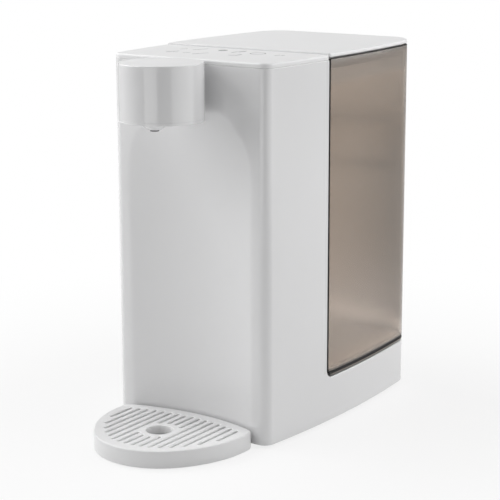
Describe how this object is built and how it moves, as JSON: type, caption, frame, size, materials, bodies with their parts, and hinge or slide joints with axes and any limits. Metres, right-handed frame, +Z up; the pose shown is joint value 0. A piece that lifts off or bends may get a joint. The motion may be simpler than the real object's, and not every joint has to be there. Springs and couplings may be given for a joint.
{
  "type": "instant hot water dispenser",
  "caption": "Countertop instant hot water dispenser: a scooped column with a round nozzle head and a slotted drip tray in front, and a lift-off tinted water tank behind.",
  "frame": {"origin": "on the table, at the middle of the overall footprint, drip tray included", "axes": "+Z up, the nozzle and the tray face -Y, +X to the right seen from behind the tray facing the dispenser's rear"},
  "size_m": [0.149, 0.2994, 0.282],
  "materials": {
    "shell": "fine satin light grey",
    "grille": "satin light grey",
    "inner_plastic": "plain moulded grey",
    "dark_plastic": "plain moulded black",
    "tank": "clear, smoke brown tint",
    "white_plastic": "plain moulded white",
    "clear_plastic": "clear",
    "hose": "milky silicone",
    "rubber": "black rubber",
    "steel": "zinc plated",
    "cast_block": "cast",
    "brass": "turned",
    "board": "solder mask green"
  },
  "bodies": {
    "body": {"housing": "shell", "top_cover": "shell", "column_back": "inner_plastic", "base_plate": "inner_plastic", "nozzle_shell": "shell", "nozzle_base": "shell", "spout_tip": "dark_plastic", "tank_dock": "dark_plastic", "cord_gland": "rubber", "feet": "rubber", "base_screws": "steel", "nozzle_clamp": "inner_plastic", "heater": "cast_block", "heater_caps": "dark_plastic", "heater_brackets": "steel", "thermal_cutout": "dark_plastic", "temp_sensor": "brass", "main_board": "board", "touch_board": "board", "light_guide": "clear_plastic", "ribbon_cable": "white_plastic", "pump_motor": "steel", "pump_head": "dark_plastic", "pump_cradle": "rubber", "inlet_hose": "hose", "feed_hose": "hose", "outlet_hose": "hose", "hose_clips": "steel", "dock_seal": "rubber", "panel_screws": "steel", "board_screws": "steel"},
    "rotor": {"pump_rotor": "white_plastic"},
    "tank": {"water_tank": "tank", "tank_valve": "dark_plastic", "valve_washer": "rubber", "tank_strainer": "white_plastic", "valve_spring": "steel"},
    "plunger": {"valve_plunger": "white_plastic", "valve_seal": "rubber"},
    "lid": {"tank_lid": "shell", "lid_gasket": "hose"},
    "tray": {"drip_tray": "inner_plastic"},
    "grille": {"drip_grille": "grille"}
  },
  "joints": [
    {"name": "tank_lift", "type": "slide", "parent": "body", "child": "tank", "axis": [0, 0, 1], "range_m": [0, 0.26]},
    {"name": "lid_lift", "type": "slide", "parent": "tank", "child": "lid", "axis": [0, 0, 1], "range_m": [0, 0.06]},
    {"name": "tray_pull", "type": "slide", "parent": "body", "child": "tray", "axis": [0, -1, 0], "range_m": [0, 0.12]},
    {"name": "grille_lift", "type": "slide", "parent": "tray", "child": "grille", "axis": [0, 0, 1], "range_m": [0, 0.05]},
    {"name": "valve_travel", "type": "slide", "parent": "tank", "child": "plunger", "axis": [0, 0, 1], "range_m": [-0.0038, 0], "deforming": ["valve_spring"]},
    {"name": "pump_spin", "type": "hinge", "parent": "body", "child": "rotor", "pos_m": [0, 0.088, 0.0193], "axis": [0, 1, 0], "continuous": true}
  ],
  "couplings": [
    {"joint": "valve_travel", "follows": "tank_lift", "ratio": -0.014615}
  ]
}
